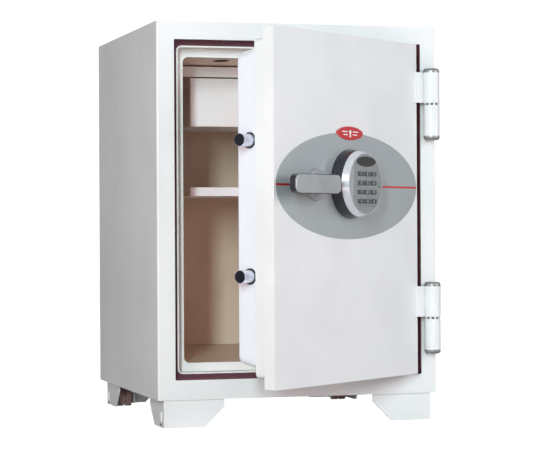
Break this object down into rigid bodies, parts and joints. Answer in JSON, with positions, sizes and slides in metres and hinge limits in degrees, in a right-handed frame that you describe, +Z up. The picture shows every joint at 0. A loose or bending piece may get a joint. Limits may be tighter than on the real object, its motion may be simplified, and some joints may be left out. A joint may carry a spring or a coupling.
{
  "type": "fire-resistant safe",
  "caption": "Upright fire-resistant safe with a swinging insulated door, electronic keypad, lever handle, sliding bolts, inner drawer, shelf and corner feet.",
  "frame": {"origin": "on the floor, at the middle of the cabinet's footprint", "axes": "+X to the right seen from the front, +Y to the back, +Z up"},
  "size_m": [0.477, 0.7823, 0.655],
  "materials": {
    "white_paint": "satin powder coat",
    "plug_white": "satin powder coat",
    "liner_white": "satin paint",
    "maroon_frame": "satin paint",
    "seal": "matt",
    "fill": "cast fire-resistant fill",
    "bare_steel": "zinc plated",
    "wheel_plastic": "moulded",
    "washer": "satin",
    "cap_metal": "satin",
    "oval_grey": "metallic grey",
    "red": "gloss enamel",
    "pad_black": "gloss",
    "pad_ring": "satin chrome",
    "pad_face": "satin metallic",
    "display": "gloss",
    "led": "gloss",
    "key_grey": "matt",
    "rosette": "satin",
    "lever_black": "gloss",
    "lever_silver": "satin",
    "bolt_chrome": "polished",
    "collar": "satin",
    "solenoid": "satin"
  },
  "bodies": {
    "cabinet": {"outer_shell": "white_paint", "rear_panel": "white_paint", "insulation": "fill", "throat_frame": "maroon_frame", "heat_seal": "seal", "liner_front": "liner_white", "liner_sides": "liner_white", "liner_top_floor": "liner_white", "liner_back": "liner_white", "strike_boxes": "bare_steel", "feet_front": "white_paint", "feet_rear": "white_paint", "foot_studs": "bare_steel", "caster_axles": "bare_steel", "frame_knuckles": "white_paint", "hinge_pins": "bare_steel", "hinge_washers": "washer", "hinge_caps_lower": "cap_metal", "drawer_hanger": "liner_white", "shelf": "liner_white", "shelf_brackets": "liner_white"},
    "wheel_left": {"wheel_left": "wheel_plastic"},
    "wheel_right": {"wheel_right": "wheel_plastic"},
    "drawer": {"drawer": "liner_white"},
    "door": {"door_panel": "white_paint", "door_step": "white_paint", "door_plug": "plug_white", "door_insulation": "fill", "door_knuckles": "white_paint", "hinge_caps_upper": "cap_metal", "oval_plate": "oval_grey", "red_stripe": "red", "badge": "red", "keypad_base": "pad_black", "keypad_ring": "pad_ring", "keypad_face": "pad_face", "display_window": "display", "status_led": "led", "handle_rosette": "rosette", "bolt_collars": "collar", "lock_base": "bare_steel", "solenoid_case": "solenoid"},
    "handle": {"handle_spindle": "bare_steel", "handle_lever": "lever_black", "handle_face": "lever_silver", "drive_cam": "bare_steel"},
    "carriage": {"bolt_carriage": "bare_steel", "bolts": "bolt_chrome"},
    "key_1": {"key_1": "key_grey"},
    "key_2": {"key_2": "key_grey"},
    "key_3": {"key_3": "key_grey"},
    "key_4": {"key_4": "key_grey"},
    "key_5": {"key_5": "key_grey"},
    "key_6": {"key_6": "key_grey"},
    "key_7": {"key_7": "key_grey"},
    "key_8": {"key_8": "key_grey"},
    "key_9": {"key_9": "key_grey"},
    "key_clear": {"key_clear": "key_grey"},
    "key_0": {"key_0": "key_grey"},
    "key_enter": {"key_enter": "key_grey"}
  },
  "joints": [
    {"name": "door_hinge", "type": "hinge", "parent": "cabinet", "child": "door", "pos_m": [0.2255, -0.2565, 0.35], "axis": [0, 0, 1], "range_deg": [-38.4, 141.6]},
    {"name": "handle_turn", "type": "hinge", "parent": "door", "child": "handle", "pos_m": [-0.03718, -0.44364, 0.387], "axis": [0.6211, -0.7837, 0], "range_deg": [0, 60]},
    {"name": "bolt_draw", "type": "slide", "parent": "door", "child": "carriage", "axis": [0.7837, 0.6211, 0], "range_m": [0, 0.0236]},
    {"name": "drawer_slide", "type": "slide", "parent": "cabinet", "child": "drawer", "axis": [0, -1, 0], "range_m": [0, 0.14]},
    {"name": "wheel_left_spin", "type": "hinge", "parent": "cabinet", "child": "wheel_left", "pos_m": [-0.204, 0.186, 0.016], "axis": [1, 0, 0], "continuous": true},
    {"name": "wheel_right_spin", "type": "hinge", "parent": "cabinet", "child": "wheel_right", "pos_m": [0.204, 0.186, 0.016], "axis": [1, 0, 0], "continuous": true},
    {"name": "key_1_press", "type": "slide", "parent": "door", "child": "key_1", "axis": [-0.6211, 0.7837, 0], "range_m": [0, 0.0012], "stiffness_N_per_m": 300},
    {"name": "key_2_press", "type": "slide", "parent": "door", "child": "key_2", "axis": [-0.6211, 0.7837, 0], "range_m": [0, 0.0012], "stiffness_N_per_m": 300},
    {"name": "key_3_press", "type": "slide", "parent": "door", "child": "key_3", "axis": [-0.6211, 0.7837, 0], "range_m": [0, 0.0012], "stiffness_N_per_m": 300},
    {"name": "key_4_press", "type": "slide", "parent": "door", "child": "key_4", "axis": [-0.6211, 0.7837, 0], "range_m": [0, 0.0012], "stiffness_N_per_m": 300},
    {"name": "key_5_press", "type": "slide", "parent": "door", "child": "key_5", "axis": [-0.6211, 0.7837, 0], "range_m": [0, 0.0012], "stiffness_N_per_m": 300},
    {"name": "key_6_press", "type": "slide", "parent": "door", "child": "key_6", "axis": [-0.6211, 0.7837, 0], "range_m": [0, 0.0012], "stiffness_N_per_m": 300},
    {"name": "key_7_press", "type": "slide", "parent": "door", "child": "key_7", "axis": [-0.6211, 0.7837, 0], "range_m": [0, 0.0012], "stiffness_N_per_m": 300},
    {"name": "key_8_press", "type": "slide", "parent": "door", "child": "key_8", "axis": [-0.6211, 0.7837, 0], "range_m": [0, 0.0012], "stiffness_N_per_m": 300},
    {"name": "key_9_press", "type": "slide", "parent": "door", "child": "key_9", "axis": [-0.6211, 0.7837, 0], "range_m": [0, 0.0012], "stiffness_N_per_m": 300},
    {"name": "key_clear_press", "type": "slide", "parent": "door", "child": "key_clear", "axis": [-0.6211, 0.7837, 0], "range_m": [0, 0.0012], "stiffness_N_per_m": 300},
    {"name": "key_0_press", "type": "slide", "parent": "door", "child": "key_0", "axis": [-0.6211, 0.7837, 0], "range_m": [0, 0.0012], "stiffness_N_per_m": 300},
    {"name": "key_enter_press", "type": "slide", "parent": "door", "child": "key_enter", "axis": [-0.6211, 0.7837, 0], "range_m": [0, 0.0012], "stiffness_N_per_m": 300}
  ],
  "couplings": [
    {"joint": "bolt_draw", "follows": "handle_turn", "m_per_rad": 0.022441}
  ]
}
